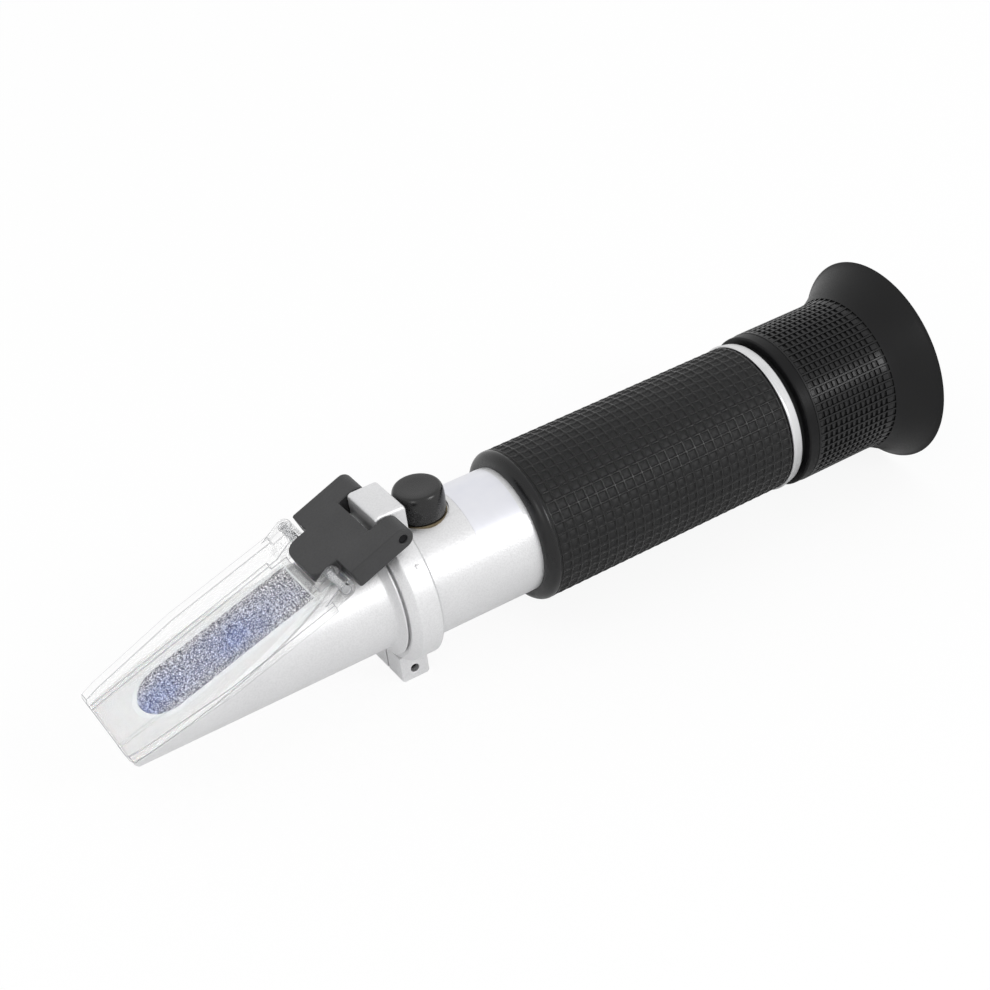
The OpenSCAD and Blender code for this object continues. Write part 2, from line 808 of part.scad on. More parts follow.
module eyecup() {
    inner_r = cup_r - rim_t;
    inner_x = cup_x + cup_floor;
    outer = [for (s = flare_shares) [cup_x + cup_len * s[0], sleeve_r + (cup_r - sleeve_r) * s[1]]];
    inner = [for (s = flare_shares)
        [inner_x + (rim_x - inner_x) * s[0], throat_r + (inner_r - throat_r) * s[1]]];
    color("dimgray") placed() turned(concat(
        [[sleeve_x, core_r + seat_gap], [sleeve_x, sleeve_r]], outer, reversed(inner),
        [[inner_x, floor_r], [cup_x + seat_gap, floor_r], [cup_x + seat_gap, core_r + seat_gap]]
    ));
}

prism_housing();
measuring_prism();
prism_cement();
clamp_collar();
clamp_screw();
hinge_pin();
hinge_bracket();
plate_pin();
daylight_plate();
barrel_tube();
calibration_boss();
calibration_screw();
calibration_cap();
objective_holder();
objective_lens();
objective_ring();
compensation_strip();
strip_anchor();
glare_stop();
reticle_holder();
reticle();
rubber_grip();
end_ring();
focus_bush();
lens_tube();
field_lens();
lens_spacer();
eye_lens();
lens_retainer();
focus_ring();
tube_retainer();
eyecup();
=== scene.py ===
import math

import bmesh
import bpy
from mathutils import Matrix, Vector
from mathutils.geometry import interpolate_bezier


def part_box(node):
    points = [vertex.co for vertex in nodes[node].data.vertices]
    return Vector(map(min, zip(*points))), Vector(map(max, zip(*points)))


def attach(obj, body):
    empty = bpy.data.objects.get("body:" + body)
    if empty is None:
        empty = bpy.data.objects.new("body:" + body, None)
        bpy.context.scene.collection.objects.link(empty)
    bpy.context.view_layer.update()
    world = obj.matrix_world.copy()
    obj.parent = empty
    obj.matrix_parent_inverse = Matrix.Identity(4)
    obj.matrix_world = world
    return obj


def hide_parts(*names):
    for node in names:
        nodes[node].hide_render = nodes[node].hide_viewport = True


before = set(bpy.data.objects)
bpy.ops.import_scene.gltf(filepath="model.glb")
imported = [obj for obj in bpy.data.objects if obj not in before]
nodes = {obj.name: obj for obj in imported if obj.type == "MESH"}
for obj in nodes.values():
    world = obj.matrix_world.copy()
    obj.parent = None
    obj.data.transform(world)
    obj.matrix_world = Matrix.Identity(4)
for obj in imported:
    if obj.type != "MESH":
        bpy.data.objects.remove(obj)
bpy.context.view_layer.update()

# A hand-held brix refractometer lying on a pale sheet. The optical axis is X,
# the eye looks in from +X, the prism face slopes down towards -X. Lengths in
# the dictionaries are in millimetres, apart from those of floor, lamps and view.
mm = 0.001
print("frame loaded:", len(nodes), "nodes")


# Tools for meshes

# Vertices nearer than these lengths merge, and neighbouring faces that are
# flatter than this angle join.
merging = {"turned": 0.0005, "copied": 0.002, "flatDegrees": 0.7}
cornerPull = 0.55  # share of the way to a corner that its handles reach
handlePart = 3  # a handle of a smooth line is a third of its tangent


# The two ends of a node along X, and its outer radius.
def nodeSpan(nodeName):
    low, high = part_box(nodeName)
    return low.x / mm, high.x / mm, high.y / mm


# Corners given as (along, across, radius) are rounded, the others stay sharp.
def roundedLine(corners, steps=5):
    points = []
    count = len(corners)
    for i, corner in enumerate(corners):
        at = Vector(corner[:2])
        if len(corner) < 3:
            points.append(at)
            continue
        before = (Vector(corners[i - 1][:2]) - at).normalized() * corner[2] + at
        after = (Vector(corners[(i + 1) % count][:2]) - at).normalized() * corner[2] + at
        points += interpolate_bezier(before, before.lerp(at, cornerPull), after.lerp(at, cornerPull), after,
                                     steps + 1)
    return points


# A smooth line through points, with tangents taken from their neighbours.
def flowingLine(knots, steps=5):
    points = [Vector(k) for k in knots]
    line = [points[0]]
    last = len(points) - 1
    for i in range(last):
        a, b = points[i], points[i + 1]
        handleA = (b - points[max(i - 1, 0)]) / (2 * handlePart if i else handlePart)
        handleB = (points[min(i + 2, last)] - a) / (2 * handlePart if i + 2 <= last else handlePart)
        line += interpolate_bezier(a, a + handleA, b - handleB, b, steps + 1)[1:]
    return line


# Spins a closed outline of (along, radius) about the X axis, or about an
# upright one through centre.
def turnedShape(outline, steps, axis="X", centre=(0, 0)):
    bm = bmesh.new()
    if axis == "X":
        spots = [(p[0] * mm, 0, p[1] * mm) for p in outline]
        middle, direction = (0, 0, 0), (1, 0, 0)
    else:
        spots = [(centre[0] * mm + p[1] * mm, centre[1] * mm, p[0] * mm) for p in outline]
        middle, direction = (centre[0] * mm, centre[1] * mm, 0), (0, 0, 1)
    verts = [bm.verts.new(s) for s in spots]
    edges = [bm.edges.new((verts[i - 1], verts[i])) for i in range(len(verts))]
    bmesh.ops.spin(bm, geom=verts + edges, cent=middle, axis=direction, angle=2 * math.pi,
                   steps=steps, use_merge=True, use_duplicate=False)
    bmesh.ops.remove_doubles(bm, verts=bm.verts, dist=merging["turned"] * mm)
    bmesh.ops.recalc_face_normals(bm, faces=bm.faces)
    return bm


# A CAD node's own shape, with its triangles merged.
def mergedCopy(nodeName):
    bm = bmesh.new()
    bm.from_mesh(nodes[nodeName].data)
    bmesh.ops.remove_doubles(bm, verts=bm.verts, dist=merging["copied"] * mm)
    bmesh.ops.dissolve_limit(bm, angle_limit=math.radians(merging["flatDegrees"]), verts=bm.verts,
                             edges=bm.edges)
    return bm


def hardEdges(bm, hardAngle):
    return [e for e in bm.edges if e.is_manifold and e.calc_face_angle(0) > math.radians(hardAngle)]


# Rounds those edges and gives back the new faces.
def roundEdges(bm, edges, width, segments):
    return bmesh.ops.bevel(bm, geom=edges, offset=width * mm, segments=segments, profile=0.5,
                           affect="EDGES", material=-1)["faces"]


# Edges of the pieces that keep their CAD shape: (width, segments).
edgeRounds = {"prism_housing": (0.12, 3), "prism_cement": (0.08, 2), "measuring_prism": (0.06, 2),
              "daylight_plate": (0.12, 2), "hinge_bracket": (0.28, 3), "barrel_tube": (0.08, 2),
              "calibration_boss": (0.05, 2), "calibration_screw": (0.06, 2)}


# That shape with rounded edges, which may take a second material.
def roundedCopy(nodeName, edgeSlot=0, hardAngle=30):
    bm = mergedCopy(nodeName)
    for face in roundEdges(bm, hardEdges(bm, hardAngle), *edgeRounds[nodeName]):
        face.material_index = edgeSlot
    return bm


# Turns a bmesh into a piece that rides on a body and takes a finish.
def finishPiece(name, bm, body, material, stands=(), hardAngle=38, weighted=True):
    for edge in bm.edges:
        edge.smooth = edge.is_manifold and edge.calc_face_angle(0) < math.radians(hardAngle)
    for face in bm.faces:
        face.smooth = True
    mesh = bpy.data.meshes.new(name)
    bm.to_mesh(mesh)
    bm.free()
    mesh.materials.append(material)
    piece = bpy.data.objects.new(name, mesh)
    bpy.context.scene.collection.objects.link(piece)
    if weighted:
        weight = piece.modifiers.new("weightedNormals", "WEIGHTED_NORMAL")
        weight.keep_sharp = True
    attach(piece, body)
    if stands:
        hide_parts(*stands)
    return piece


# Tools for materials

# sRGB hex to linear, by the standard curve.
def colourOf(hexText):
    parts = [int(hexText[i:i + 2], 16) / 255 for i in (0, 2, 4)]
    linear = [p / 12.92 if p <= 0.04045 else ((p + 0.055) / 1.055) ** 2.4 for p in parts]
    return (*linear, 1)


# Adds a node with its settings and links. Integer keys are socket numbers: a
# Mix has its factor at 0, numbers at 2 and 3 and colours at 6 and 7. The stops
# of a ramp are (position, hex colour or number).
def addNode(tree, kind, settings=None, links=None, stops=()):
    node = tree.nodes.new(kind)
    for key, value in (settings or {}).items():
        if isinstance(key, int) or key in node.inputs:
            node.inputs[key].default_value = value
        else:
            setattr(node, key, value)
    for key, source in (links or {}).items():
        tree.links.new(source, node.inputs[key])
    for i, (position, value) in enumerate(stops):
        elements = node.color_ramp.elements
        element = elements[i] if i < 2 else elements.new(position)  # a ramp comes with two
        element.position = position
        element.color = colourOf(value) if isinstance(value, str) else (value, value, value, 1)
    return node


# Texture scale for a feature of that size, on Object coordinates in metres.
def scaleFor(sizeMm):
    return 1 / (sizeMm * mm)


# A material with a plain shader, and the Object coordinates for its textures.
def blankMaterial(name, sockets=None):
    material = bpy.data.materials.new(name)
    material.use_nodes = True
    tree = material.node_tree
    tree.nodes.clear()
    output = addNode(tree, "ShaderNodeOutputMaterial")
    shader = addNode(tree, "ShaderNodeBsdfPrincipled", sockets)
    tree.links.new(shader.outputs[0], output.inputs[0])
    place = addNode(tree, "ShaderNodeTexCoord")
    return material, tree, shader, place.outputs["Object"]


# The part of a noise's range over which each effect runs from end to end.
noiseBand = {"mottle": (0.3, 0.7), "gloss": (0.3, 0.7), "fleck": (0.36, 0.6), "sheenAndWear": (0.38, 0.6),
             "haze": (0.35, 0.75), "patch": (0.35, 0.65)}


# Where rubber is polished and a lighter sheen is painted: past a radius and in
# patches. The share is given at two places along X, and joined to the radius by the given operation.
def sheenAndWearShare(tree, place, look):
    spread = addNode(tree, "ShaderNodeVectorMath", {"operation": "MULTIPLY", 1: (0, 1, 1)}, {0: place})
    radius = addNode(tree, "ShaderNodeVectorMath", {"operation": "LENGTH"}, {0: spread.outputs[0]})
    raised = addNode(tree, "ShaderNodeMapRange",
                     {"From Min": look["sheenAndWearFrom"] * mm, "From Max": look["sheenAndWearTo"] * mm},
                     {"Value": radius.outputs["Value"]})
    axes = addNode(tree, "ShaderNodeSeparateXYZ", links={0: place})
    (near, far), (atNear, atFar) = look["sheenAndWearAlong"], look["sheenAndWearShares"]
    along = addNode(tree, "ShaderNodeMapRange",
                    {"From Min": near * mm, "From Max": far * mm, "To Min": atNear, "To Max": atFar},
                    {"Value": axes.outputs["X"]})
    joined = addNode(tree, "ShaderNodeMath", {"operation": look["sheenAndWearJoining"]},
                     {0: raised.outputs[0], 1: along.outputs[0]})
    patches = addNode(tree, "ShaderNodeTexNoise",
                      {"Scale": scaleFor(look["sheenAndWearPatchMm"]), "Detail": 1}, {"Vector": place})
    low, high = noiseBand["sheenAndWear"]
    kept = addNode(tree, "ShaderNodeMapRange",
                   {"From Min": low, "From Max": high, "To Min": look["sheenAndWearLeast"]},
                   {"Value": patches.outputs[0]})
    sheenAndWearMask = addNode(tree, "ShaderNodeMath", {"operation": "MULTIPLY"},
                   {0: joined.outputs[0], 1: kept.outputs[0]})
    return sheenAndWearMask.outputs[0]


# A finish with mottled colour, uneven gloss and a fine grain, which may have
# pale flecks in its grain, polished places with a painted sheen, and specks of dust.
def grainedMaterial(look):
    material, tree, shader, place = blankMaterial(look["name"], look.get("sockets"))
    mottle = addNode(tree, "ShaderNodeTexNoise",
                     {"Scale": scaleFor(look["mottleMm"]), "Detail": 3}, {"Vector": place})
    colour = addNode(tree, "ShaderNodeValToRGB", links={0: mottle.outputs[0]},
                     stops=zip(noiseBand["mottle"], (look["dark"], look["light"]))).outputs[0]
    grainPlace = addNode(tree, "ShaderNodeMapping", {"Scale": look.get("stretch", (1, 1, 1))},
                         {"Vector": place})
    grain = addNode(tree, "ShaderNodeTexNoise",
                    {"Scale": scaleFor(look["grainMm"]), "Detail": 2, "Roughness": 0.6},
                    {"Vector": grainPlace.outputs[0]})
    gloss = addNode(tree, "ShaderNodeValToRGB", links={0: grain.outputs[0]},
                    stops=zip(noiseBand["gloss"], (look["smooth"], look["rough"]))).outputs[0]
    if "fleck" in look:
        fleck = addNode(tree, "ShaderNodeValToRGB", links={0: grain.outputs[0]},
                        stops=zip(noiseBand["fleck"], (1 - look["fleck"], 1)))
        colour = addNode(tree, "ShaderNodeMix", {"data_type": "RGBA", "blend_type": "MULTIPLY", 0: 1},
                         {6: colour, 7: fleck.outputs[0]}).outputs[2]
    if "sheenAndWear" in look:
        sheenAndWearMask = sheenAndWearShare(tree, place, look)
        # Polished places get a lighter colour, which is painted sheen, and a lower roughness, which is real
        # polish.
        colour = addNode(tree, "ShaderNodeMix", {"data_type": "RGBA", 7: colourOf(look["sheenAndWear"])},
                         {0: sheenAndWearMask, 6: colour}).outputs[2]
        gloss = addNode(tree, "ShaderNodeMix", {3: look["wearRough"]}, {0: sheenAndWearMask, 2: gloss}).outputs[0]
    if "speck" in look:
        dust = addNode(tree, "ShaderNodeTexVoronoi", {"Scale": scaleFor(look["speckMm"])}, {"Vector": place})
        dustMask = addNode(tree, "ShaderNodeValToRGB", links={0: dust.outputs["Distance"]},
                           stops=[(0, 1), (look["speckShare"], 0)])
        colour = addNode(tree, "ShaderNodeMix", {"data_type": "RGBA", 7: colourOf(look["speck"])},
                         {0: dustMask.outputs[0], 6: colour}).outputs[2]
    bump = addNode(tree, "ShaderNodeBump", {"Strength": look["relief"], "Distance": look["reliefMm"] * mm},
                   {"Height": grain.outputs[0]})
    tree.links.new(colour, shader.inputs["Base Color"])
    tree.links.new(gloss, shader.inputs["Roughness"])
    tree.links.new(bump.outputs[0], shader.inputs["Normal"])
    return material


# Finishes

# Bead-blasted, clear anodised aluminium: a pale, even sheen with a fine
# sparkle. The real grit is finer, and is drawn as fine as it shows.
satinAluminium = grainedMaterial({
    "name": "blasted_anodised_aluminium", "dark": "DBDBDC", "light": "E3E3E4", "mottleMm": 24,
    "grainMm": 0.3, "smooth": 0.33, "rough": 0.46, "relief": 0.7, "reliefMm": 0.05, "fleck": 0.08,
    "sockets": {"Metallic": 0.72}})
# Turned aluminium: brighter, with faint rings from the lathe tool.
turnedAluminium = grainedMaterial({
    "name": "turned_aluminium", "dark": "CFCFD0", "light": "DEDEDF", "mottleMm": 5,
    "grainMm": 0.3, "stretch": (1, 0.04, 0.04), "smooth": 0.24, "rough": 0.4, "relief": 0.2,
    "reliefMm": 0.02, "sockets": {"Metallic": 1}})
# Dyed, anodised aluminium inside the tube: dull black against stray light.
blackAluminium = grainedMaterial({
    "name": "black_anodised_aluminium", "dark": "101112", "light": "1A1B1C", "mottleMm": 4,
    "grainMm": 0.2, "stretch": (1, 0.05, 0.05), "smooth": 0.42, "rough": 0.58, "relief": 0.2,
    "reliefMm": 0.02, "sockets": {"Metallic": 0.35}})
# Cast zinc with a charcoal powder coat: matt, with a faint orange peel.
coatedZinc = grainedMaterial({
    "name": "powder_coated_zinc", "dark": "2A2A2B", "light": "323233", "mottleMm": 8,
    "grainMm": 0.3, "smooth": 0.44, "rough": 0.6, "relief": 0.22, "reliefMm": 0.03,
    "sockets": {"Specular IOR Level": 0.5}})
# Moulded nitrile rubber of the eyecup: soft black with a little lint, and
# glossier where the ribs and lands of its sleeve are touched, where a lighter colour is painted sheen.
mouldedRubber = grainedMaterial({
    "name": "moulded_nitrile_rubber", "dark": "060607", "light": "0B0B0C", "mottleMm": 8,
    "grainMm": 0.25, "smooth": 0.36, "rough": 0.5, "relief": 0.2, "reliefMm": 0.03,
    "sheenAndWear": "1B1B1C", "sheenAndWearFrom": 14.78, "sheenAndWearTo": 14.87, "sheenAndWearAlong": (-1.6, -1.1),
    "sheenAndWearShares": (1, 0), "sheenAndWearJoining": "MULTIPLY", "sheenAndWearPatchMm": 7, "sheenAndWearLeast": 0.8, "wearRough": 0.26,
    "speck": "6A6A68", "speckMm": 3.4, "speckShare": 0.03, "sockets": {"Specular IOR Level": 0.24}})
# The grip's rubber: the same, polished in patches on its raised ridges and on
# the plain rim at its front, with a slightly lighter colour there as painted sheen.
handledRubber = grainedMaterial({
    "name": "handled_nitrile_rubber", "dark": "060607", "light": "0C0C0D", "mottleMm": 8,
    "grainMm": 0.25, "smooth": 0.46, "rough": 0.62, "relief": 0.25, "reliefMm": 0.03,
    "sheenAndWear": "0E0E0F", "sheenAndWearFrom": 14.12, "sheenAndWearTo": 14.2, "sheenAndWearAlong": (-76.4, -76.2),
    "sheenAndWearShares": (0.8, 0), "sheenAndWearJoining": "MAXIMUM", "sheenAndWearPatchMm": 7, "sheenAndWearLeast": 0.7, "wearRough": 0.16,
    "speck": "6A6A68", "speckMm": 2.6, "speckShare": 0.035, "sockets": {"Specular IOR Level": 0.37}})
# Moulded silicone cap: smoother, so it carries one soft highlight.
siliconeRubber = grainedMaterial({
    "name": "moulded_silicone_rubber", "dark": "09090A", "light": "0E0E0F", "mottleMm": 4,
    "grainMm": 0.25, "smooth": 0.22, "rough": 0.32, "relief": 0.12, "reliefMm": 0.02,
    "sockets": {"Specular IOR Level": 0.5}})
# Moulded ABS of the focus ring: satin black.
mouldedAbs = grainedMaterial({
    "name": "moulded_black_abs", "dark": "0E0E0F", "light": "151516", "mottleMm": 6,
    "grainMm": 0.2, "smooth": 0.36, "rough": 0.5, "relief": 0.12, "reliefMm": 0.02,
    "sockets": {"Specular IOR Level": 0.14}})
# Turned brass: yellow, ringed by the tool and dulled at places.
turnedBrass = grainedMaterial({
    "name": "turned_brass", "dark": "6B604C", "light": "827761", "mottleMm": 3,
    "grainMm": 0.2, "stretch": (1, 1, 0.2), "smooth": 0.26, "rough": 0.44, "relief": 0.2,
    "reliefMm": 0.02, "sockets": {"Metallic": 1}})
# Drawn steel pin and screw, blackened.
blackenedSteel = grainedMaterial({
    "name": "blackened_steel", "dark": "161617", "light": "252527", "mottleMm": 1.5,
    "grainMm": 0.15, "smooth": 0.3, "rough": 0.46, "relief": 0.15, "reliefMm": 0.01,
    "sockets": {"Metallic": 0.9}})
# Bright steel of the slotted screw and the plate's pin.
brightSteel = grainedMaterial({
    "name": "bright_steel", "dark": "A5A6A8", "light": "C2C3C5", "mottleMm": 1.5,
    "grainMm": 0.15, "smooth": 0.22, "rough": 0.36, "relief": 0.15, "reliefMm": 0.01,
    "sockets": {"Metallic": 1}})
# Rolled strip of two bonded metals, coppery on the side that shows.
bondedStrip = grainedMaterial({
    "name": "rolled_bimetal_strip", "dark": "9C7356", "light": "B98C6A", "mottleMm": 4,
    "grainMm": 0.2, "stretch": (0.05, 1, 1), "smooth": 0.28, "rough": 0.42, "relief": 0.15,
    "reliefMm": 0.01, "sockets": {"Metallic": 1}})
# Cured epoxy round the prism: milky, with a rough speckled surface.
curedEpoxy = grainedMaterial({
    "name": "cured_white_epoxy", "dark": "E8E8E8", "light": "F6F6F6", "mottleMm": 0.8,
    "grainMm": 0.32, "smooth": 0.4, "rough": 0.7, "relief": 0.6, "reliefMm": 0.1, "fleck": 0.1,
    "sockets": {"Subsurface Weight": 0.15, "Subsurface Scale": 0.001}})
# White band round the window, a painted reflection of the white housing seen in the prism: smooth and wet
# looking.
paintedWhiteReflection = grainedMaterial({
    "name": "painted_white_reflection", "dark": "ECEDEF", "light": "F6F7F8", "mottleMm": 1.2,
    "grainMm": 0.5, "smooth": 0.25, "rough": 0.4, "relief": 0.1, "reliefMm": 0.03,
    "sockets": {"Subsurface Weight": 0.1, "Subsurface Scale": 0.001}})
# Grey strip behind the window: matt, with a fine grain.
greyStrip = grainedMaterial({
    "name": "grey_strip_finish", "dark": "A6A6A7", "light": "B4B4B5", "mottleMm": 1,
    "grainMm": 0.15, "smooth": 0.7, "rough": 0.85, "relief": 0.3, "reliefMm": 0.03})
# Film of the bare label: smoother than the blasted barrel and a little bluish.
labelFilm = grainedMaterial({
    "name": "silvered_polyester_film", "dark": "DFE0E7", "light": "E8E8EC", "mottleMm": 9,
    "grainMm": 1.5, "smooth": 0.32, "rough": 0.42, "relief": 0.05, "reliefMm": 0.02,
    "sockets": {"Metallic": 1}})


# Clear moulded parts and lenses: uneven gloss only, since the body is clear.
# Where a look has solidFrom, the piece grows less clear from there along X.
def clearMaterial(look):
    material, tree, shader, place = blankMaterial(look["name"], look["sockets"])
    haze = addNode(tree, "ShaderNodeTexNoise",
                   {"Scale": scaleFor(look["hazeMm"]), "Detail": 3}, {"Vector": place})
    gloss = addNode(tree, "ShaderNodeValToRGB", links={0: haze.outputs[0]},
                    stops=zip(noiseBand["haze"], (look["smooth"], look["rough"])))
    ripple = addNode(tree, "ShaderNodeTexNoise",
                     {"Scale": scaleFor(look["rippleMm"]), "Detail": 1}, {"Vector": place})
    bump = addNode(tree, "ShaderNodeBump", {"Strength": look["relief"], "Distance": look["reliefMm"] * mm},
                   {"Height": ripple.outputs[0]})
    tree.links.new(gloss.outputs[0], shader.inputs["Roughness"])
    tree.links.new(bump.outputs[0], shader.inputs["Normal"])
    if "solidFrom" in look:
        axes = addNode(tree, "ShaderNodeSeparateXYZ", links={0: place})
        solid = addNode(tree, "ShaderNodeMapRange",
                        {"From Min": look["solidFrom"] * mm, "From Max": look["solidTo"] * mm,
                         "To Min": look["sockets"]["Alpha"], "To Max": look["solidAlpha"]},
                        {"Value": axes.outputs["X"]})
        tree.links.new(solid.outputs[0], shader.inputs["Alpha"])
    return material


# Injection-moulded acrylic: water clear, with slow ripples of the mould. Its
# two lugs are thick and look less clear.
clearAcrylic = clearMaterial({
    "name": "moulded_clear_acrylic", "hazeMm": 6, "smooth": 0, "rough": 0.01, "rippleMm": 8,
    "relief": 0.01, "reliefMm": 0.02, "solidFrom": -119.4, "solidTo": -118.4, "solidAlpha": 0.34,
    "sockets": {"Base Color": colourOf("FBFBFC"), "IOR": 1.49, "Transmission Weight": 1, "Alpha": 0.06}})
# Its moulded edges, which catch the light as thin grey lines.
acrylicEdge = clearMaterial({
    "name": "edge_of_clear_acrylic", "hazeMm": 3, "smooth": 0.12, "rough": 0.2, "rippleMm": 4,
    "relief": 0.02, "reliefMm": 0.02,
    "sockets": {"Base Color": colourOf("98999D"), "IOR": 1.49, "Alpha": 0.66}})
# Polished crown glass with a thin purple bloom.
crownGlass = clearMaterial({
    "name": "coated_crown_glass", "hazeMm": 8, "smooth": 0, "rough": 0.03, "rippleMm": 6,
    "relief": 0.02, "reliefMm": 0.02,
    "sockets": {"Base Color": colourOf("F1F0F8"), "IOR": 1.52, "Transmission Weight": 1}})

# Ground face of the prism under its film: crinkled grey, and blue along its
# middle and towards the tip. The dark and pale stops of the crinkle are painted shade and painted highlights
# of its relief. The crinkle is drawn as fine as it shows.
prismFace = {
    "crinkleMm": 0.25, "warp": 0.3, "patchMm": 9, "patchLift": (0.6, 1.3),
    "blueCentre": -1.6, "blueHalfWidth": 6.8, "blueAtSide": 0.1,
    "greyFrom": -118.5, "greyOver": 9, "blueAtGrey": 0.15,
    "greyShadeAndHighlightStops": [(0.41, "2A282E"), (0.5, "85838A"), (0.58, "FAF9FA")],
    "blueShadeAndHighlightStops": [(0.4, "1C2A60"), (0.51, "4A60A6"), (0.61, "C6D3F6")],
    "roughness": 0.38, "relief": 0.9, "reliefMm": 0.1}


def prismFaceMaterial(look):
    material, tree, shader, place = blankMaterial("ground_prism_glass", {"Roughness": look["roughness"]})
    crinkle = addNode(tree, "ShaderNodeTexNoise",
                      {"Scale": scaleFor(look["crinkleMm"]), "Detail": 0, "Distortion": look["warp"]},
                      {"Vector": place})
    patches = addNode(tree, "ShaderNodeTexNoise",
                      {"Scale": scaleFor(look["patchMm"]), "Detail": 2}, {"Vector": place})
    axes = addNode(tree, "ShaderNodeSeparateXYZ", links={0: place})
    off = addNode(tree, "ShaderNodeMath", {"operation": "SUBTRACT", 1: look["blueCentre"] * mm},
                  {0: axes.outputs["Y"]})
    away = addNode(tree, "ShaderNodeMath", {"operation": "ABSOLUTE"}, {0: off.outputs[0]})
    across = addNode(tree, "ShaderNodeMapRange",
                     {"From Max": look["blueHalfWidth"] * mm, "To Min": 1, "To Max": look["blueAtSide"]},
                     {"Value": away.outputs[0]})
    along = addNode(tree, "ShaderNodeMapRange",
                    {"From Min": (look["greyFrom"] - look["greyOver"]) * mm,
                     "From Max": look["greyFrom"] * mm, "To Min": 1, "To Max": look["blueAtGrey"]},
                    {"Value": axes.outputs["X"]})
    blue = addNode(tree, "ShaderNodeMath", {"operation": "MULTIPLY"},
                   {0: across.outputs[0], 1: along.outputs[0]})
    (low, high), (least, most) = noiseBand["patch"], look["patchLift"]
    lift = addNode(tree, "ShaderNodeMapRange",
                   {"From Min": low, "From Max": high, "To Min": least, "To Max": most},
                   {"Value": patches.outputs[0]})
    blueShare = addNode(tree, "ShaderNodeMath", {"operation": "MULTIPLY", "use_clamp": True},
                        {0: blue.outputs[0], 1: lift.outputs[0]})
    # Each crinkle ramp runs from painted shade through the face's grey or blue to painted highlights.
    greyFace, blueFace = [addNode(tree, "ShaderNodeValToRGB", links={0: crinkle.outputs[0]},
                                  stops=look[stops]).outputs[0] for stops in ("greyShadeAndHighlightStops", "blueShadeAndHighlightStops")]
    colour = addNode(tree, "ShaderNodeMix", {"data_type": "RGBA"},
                     {0: blueShare.outputs[0], 6: greyFace, 7: blueFace})
    bump = addNode(tree, "ShaderNodeBump", {"Strength": look["relief"], "Distance": look["reliefMm"] * mm},
                   {"Height": crinkle.outputs[0]})
    tree.links.new(colour.outputs[2], shader.inputs["Base Color"])
    tree.links.new(bump.outputs[0], shader.inputs["Normal"])
    return material


groundPrism = prismFaceMaterial(prismFace)
print("finishes made:", len(bpy.data.materials))


# Nose, prism and window

finishPiece("nose_shell", roundedCopy("prism_housing"), "barrel", satinAluminium,
            ["prism_housing"])
finishPiece("epoxy_bed", roundedCopy("prism_cement"), "barrel", curedEpoxy,
            ["prism_cement"])
finishPiece("prism_block", roundedCopy("measuring_prism"), "barrel", groundPrism,
            ["measuring_prism"])

# The origin lies this far behind the nose's tip, where the prism face's plane
# starts at a drop below the axis.
tipToOrigin = 156.6
slope = {"angle": math.radians(18), "drop": 3.6}


# Moves a shape drawn on the prism face's own plane into place.
def ontoSlope(bm):
    turn = Matrix.Rotation(-slope["angle"], 4, "Y")
    shift = Matrix.Translation((-tipToOrigin * mm, 0, -slope["drop"] * mm))
    bmesh.ops.transform(bm, matrix=shift @ turn, verts=bm.verts)


# White band round the prism's window, a painted reflection of the white housing seen in the clear prism,
# and the grey strip behind it. The band's section rises from foot to top, rounded inside and sloping
# outside.
windowBand = {"halfWidth": 5.62, "frontCentre": 12.1, "back": 39.6, "width": 0.95, "top": -0.2, "foot": -0.5,
        "innerRun": 0.08, "innerDrop": 0.04, "outerRun": 0.3, "outerDip": 0.02, "outerDrop": 0.14,
        "rearWidth": 0.35, "rearOver": 0.3, "stripLength": 1.5, "stripHalfWidth": 4.6, "stripSunk": 0.02,
        "round": (0.04, 2)}


# A line round the window: two straight sides and a half-round front.
def slotLoop(bm, half, front, back, height, arcSteps=24):
    spots = [(back, -half)]
    spots += [(front - half * math.sin(math.pi * i / arcSteps), -half * math.cos(math.pi * i / arcSteps))
              for i in range(arcSteps + 1)]
    spots += [(back, half)]
    verts = [bm.verts.new((s * mm, y * mm, height * mm)) for s, y in spots]
    return [bm.edges.new((verts[i], verts[i + 1])) for i in range(len(verts) - 1)]


def windowReflectionBand():
    bm = bmesh.new()
    width, top, foot = windowBand["width"], windowBand["top"], windowBand["foot"]
    section = [(0, foot), (0, top - windowBand["innerDrop"]), (windowBand["innerRun"], top),
               (width - windowBand["outerRun"], top - windowBand["outerDip"]), (width, top - windowBand["outerDrop"]),
               (width, foot)]
    loops = [slotLoop(bm, windowBand["halfWidth"] + out, windowBand["frontCentre"], windowBand["back"], height)
             for out, height in section]
    for first, second in zip(loops, loops[1:] + loops[:1]):
        bmesh.ops.bridge_loops(bm, edges=first + second)
    bmesh.ops.holes_fill(bm, edges=[e for e in bm.edges if e.is_boundary], sides=0)
    bmesh.ops.recalc_face_normals(bm, faces=bm.faces)
    ontoSlope(bm)
    return bm


# A block across the prism face, from one place along it to another.
def slopeBlock(start, end, half, low, high):
    bm = bmesh.new()
    bmesh.ops.create_cube(bm, size=1)
    bmesh.ops.scale(bm, vec=((end - start) * mm, 2 * half * mm, (high - low) * mm), verts=bm.verts)
    bmesh.ops.translate(bm, vec=((start + end) / 2 * mm, 0, (low + high) / 2 * mm), verts=bm.verts)
    roundEdges(bm, bm.edges[:], *windowBand["round"])
    ontoSlope(bm)
    return bm


stripStart = windowBand["back"] + windowBand["rearWidth"]
